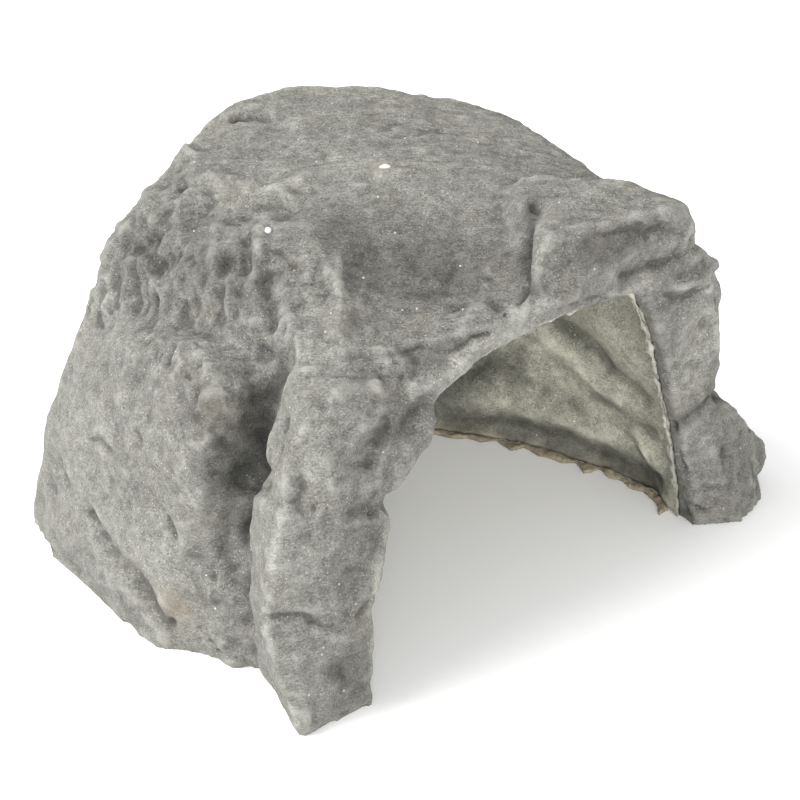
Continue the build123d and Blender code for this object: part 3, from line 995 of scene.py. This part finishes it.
@dataclass
class Flash:
    """A thin edge of set resin that squeezed out of the mould, torn and lumpy.

    Args:
        node: the CAD node that it follows.
        name: the piece's name.
        finish: its resin.
        voxel: fineness of its mesh, in millimetres.
        raggedness: how far its edge wanders, in millimetres.
        lump: width of its lumps, in millimetres.
        softening: rounds of smoothing of its edges.
    """

    node: str
    name: str
    finish: ResinFinish
    voxel: float
    raggedness: float
    lump: float
    softening: int

    def build(self) -> bpy.types.Object:
        """Makes the piece."""
        piece = cast_from(self.node, self.name)
        finish_with(piece, "REMESH", mode="VOXEL", voxel_size=self.voxel * MM)
        clay = Clay(piece)
        clay.soften(self.softening, 1.0 - clay.standing)
        torn = grain_noise(clay.points, self.lump, 3) - 0.55
        fine = grain_noise(clay.points + 9.0, self.lump / 3.0, 2)
        clay.lift(self.raggedness * (torn + 0.35 * fine), clay.averaged(clay.normals(), 2))
        clay.paint("hollow", clay.hollowness(5, 0.2))
        clay.paint("stain", np.zeros(len(clay.points)))
        clay.paint("tone", np.full(len(clay.points), LEVEL_TONE))
        clay.paint("brush", np.zeros(len(clay.points)))
        bpy.ops.object.shade_smooth()
        piece.data.materials.append(self.finish.make())
        return piece


SEAM_BEAD = Flash(
    node="mouth_seam_flash",
    name="seam_bead",
    finish=SEAM_RESIN,
    voxel=0.32,
    raggedness=0.55,
    lump=4.5,
    softening=4,
)
RIM_LIP = Flash(
    node="base_rim_flash",
    name="rim_lip",
    finish=RIM_RESIN,
    voxel=0.4,
    raggedness=0.45,
    lump=5.0,
    softening=18,
)


@dataclass
class WhiteGrains:
    """The white mineral grains, half sunk in the rock's skin where the CAD grains are.

    Args:
        facets: fineness of each grain's ball.
        uneven: how far a grain is from a ball.
        large: half size from which a grain is large and fully white, in millimetres.
        flat: half size from which it is the flat chip, in millimetres.
        chip: half sizes of the chip, in millimetres.
        chip_turn: the way that the chip lies along.
    """

    facets: int = 2
    uneven: float = 0.3
    large: float = 0.7
    flat: float = 1.2
    chip: Point = (1.35, 0.65, 0.6)
    chip_turn: Point = (0.78, -0.62, 0.1)

    def build(self, rock: bpy.types.Object) -> bpy.types.Object:
        """Makes one piece of all the grains.

        Args:
            rock: the carved rock that they sit in.

        Returns:
            The joined grains.
        """
        skin = tree_of(rock.data)
        made = [self.grain(centre, size, skin) for centre, size in self.places()]
        only(made[0])
        for grain in made:
            grain.select_set(True)
        bpy.ops.object.join()
        piece = made[0]
        piece.name = piece.data.name = "white_grains"
        bpy.ops.object.shade_smooth()
        piece.data.materials.append(GrainFinish().make())
        return piece

    def places(self) -> list[tuple[Vector, Vector]]:
        """The middle and the half size of each CAD grain."""
        loose = cast_from("quartz_grains", "grain_places")
        bpy.ops.object.mode_set(mode="EDIT")
        bpy.ops.mesh.separate(type="LOOSE")
        bpy.ops.object.mode_set(mode="OBJECT")
        found = []
        for part in [o for o in bpy.context.selected_objects if o.type == "MESH"]:
            corners = np.array([v.co for v in part.data.vertices])
            low, high = corners.min(axis=0), corners.max(axis=0)
            found.append((Vector((low + high) / 2), Vector((high - low) / 2)))
            bpy.data.objects.remove(part)
        return sorted(found, key=lambda item: tuple(item[0]))

    def grain(self, centre: Vector, size: Vector, skin: BVHTree) -> bpy.types.Object:
        """One uneven grain on the skin nearest to its CAD place."""
        bpy.ops.object.select_all(action="DESELECT")
        spot, out, _, _ = skin.find_nearest(centre)
        bpy.ops.mesh.primitive_ico_sphere_add(subdivisions=self.facets, radius=1.0)
        grain = bpy.context.active_object
        if max(size) > self.flat * MM:
            level = out.cross(Vector(self.chip_turn)).cross(out)
            turn = level.to_track_quat("X", "Z").to_matrix().to_4x4()
            shape = Matrix.Diagonal([side * MM for side in self.chip] + [1.0])
        else:
            turn = out.to_track_quat("Z", "Y").to_matrix().to_4x4()
            shape = Matrix.Diagonal([side * 0.9 for side in size] + [1.0])
        large = max(size) > self.large * MM
        bright = grain.data.attributes.new("bright", "FLOAT", "POINT")
        bright.data.foreach_set("value", [float(large)] * len(grain.data.vertices))
        for vertex in grain.data.vertices:
            swing = 1.0 + self.uneven * noise.noise(vertex.co * 1.7 + centre / MM)
            vertex.co = vertex.co * swing
        proud = 0.1 if large else -0.05
        grain.data.transform(Matrix.Translation(spot + out * proud * MM) @ turn @ shape)
        return grain


@dataclass(frozen=True)
class Studio:
    """The floor, the light and the camera.

    Args:
        aim: what the camera looks at, in millimetres from the foot corner.
        azimuth: where the camera stands, in degrees from the front. Negative is to the left.
        elevation: the camera's height, in degrees.
        distance: from the aim, in millimetres.
        lens: focal length, in millimetres.
        sensor: width of the camera's film, in millimetres.
        surround: strength of the white light from all round.
    """

    aim: Point = (60.7, 39.1, 45.0)
    azimuth: float = -39.0
    elevation: float = 35.0
    distance: float = 480.0
    lens: float = 89.7
    sensor: float = 36.0
    surround: float = 0.72

    def build(self) -> None:
        """Sets up the whole studio."""
        self.floor()
        self.light("key", (-0.81, 0.50, 1.05), 0.9, 0.5, 12.8)
        self.light("front_fill", (-0.4, -1.0, 0.45), 1.1, 0.9, 8.5)
        self.world()
        self.camera()

    def middle(self) -> Vector:
        """The aim in the row's frame, in metres."""
        return Vector((np.array(self.aim) + FOOT_CORNER) * MM)

    def floor(self) -> None:
        """A plain pale floor under the rim."""
        bpy.ops.mesh.primitive_plane_add(size=6.0, location=(0.0, 0.0, -0.0001))
        floor = bpy.context.active_object
        floor.name = "floor"
        recipe = Recipe("floor_paper")
        recipe.shader.inputs["Base Color"].default_value = (1.0, 1.0, 1.0, 1.0)
        recipe.shader.inputs["Roughness"].default_value = 0.9
        floor.data.materials.append(recipe.material)

    def light(self, name: str, way: Point, away: float, size: float, power: float) -> None:
        """A soft square light that faces the rock."""
        lamp = bpy.data.lights.new(name, "AREA")
        lamp.shape, lamp.size, lamp.energy = "SQUARE", size, power
        made = bpy.data.objects.new(name, lamp)
        direction = Vector(way).normalized()
        made.location = self.middle() + direction * away
        made.rotation_euler = direction.to_track_quat("Z", "Y").to_euler()
        bpy.context.scene.collection.objects.link(made)

    def world(self) -> None:
        """White light from all round."""
        room = bpy.data.worlds.new("white_room")
        bpy.context.scene.world = room
        room.use_nodes = True
        room.node_tree.nodes["Background"].inputs["Color"].default_value = (1.0, 1.0, 1.0, 1.0)
        room.node_tree.nodes["Background"].inputs["Strength"].default_value = self.surround
        bpy.context.scene.view_settings.view_transform = "Standard"

    def camera(self) -> None:
        """The camera, level, at the front left and above."""
        lens = bpy.data.cameras.new("camera")
        lens.lens, lens.sensor_width = self.lens, self.sensor
        made = bpy.data.objects.new("camera", lens)
        tilt = Matrix.Rotation(radians(90 - self.elevation), 4, "X")
        turn = Matrix.Rotation(radians(self.azimuth), 4, "Z") @ tilt
        back = Matrix.Translation((0, 0, self.distance * MM))
        made.matrix_world = Matrix.Translation(self.middle()) @ turn @ back
        bpy.context.scene.collection.objects.link(made)
        bpy.context.scene.camera = made


def place(piece: bpy.types.Object, node: str) -> None:
    """Rides a piece on the one body, in place of its CAD node, and reports it."""
    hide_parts(node)
    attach(piece, "root")
    log.info("%s: %d faces", piece.name, len(piece.data.polygons))


def main() -> None:
    """Builds the rock, piece by piece, and the studio round it."""
    logging.basicConfig(level=logging.INFO, format="%(message)s")
    noise.seed_set(NOISE_SEED)
    Studio().build()
    rock = RockFace().build()
    place(rock, "face_shell")
    place(CaveLining().build(), "inner_lining")
    for flash in (SEAM_BEAD, RIM_LIP):
        place(flash.build(), flash.node)
    place(WhiteGrains().build(rock), "quartz_grains")


if __name__ == "__main__":
    main()
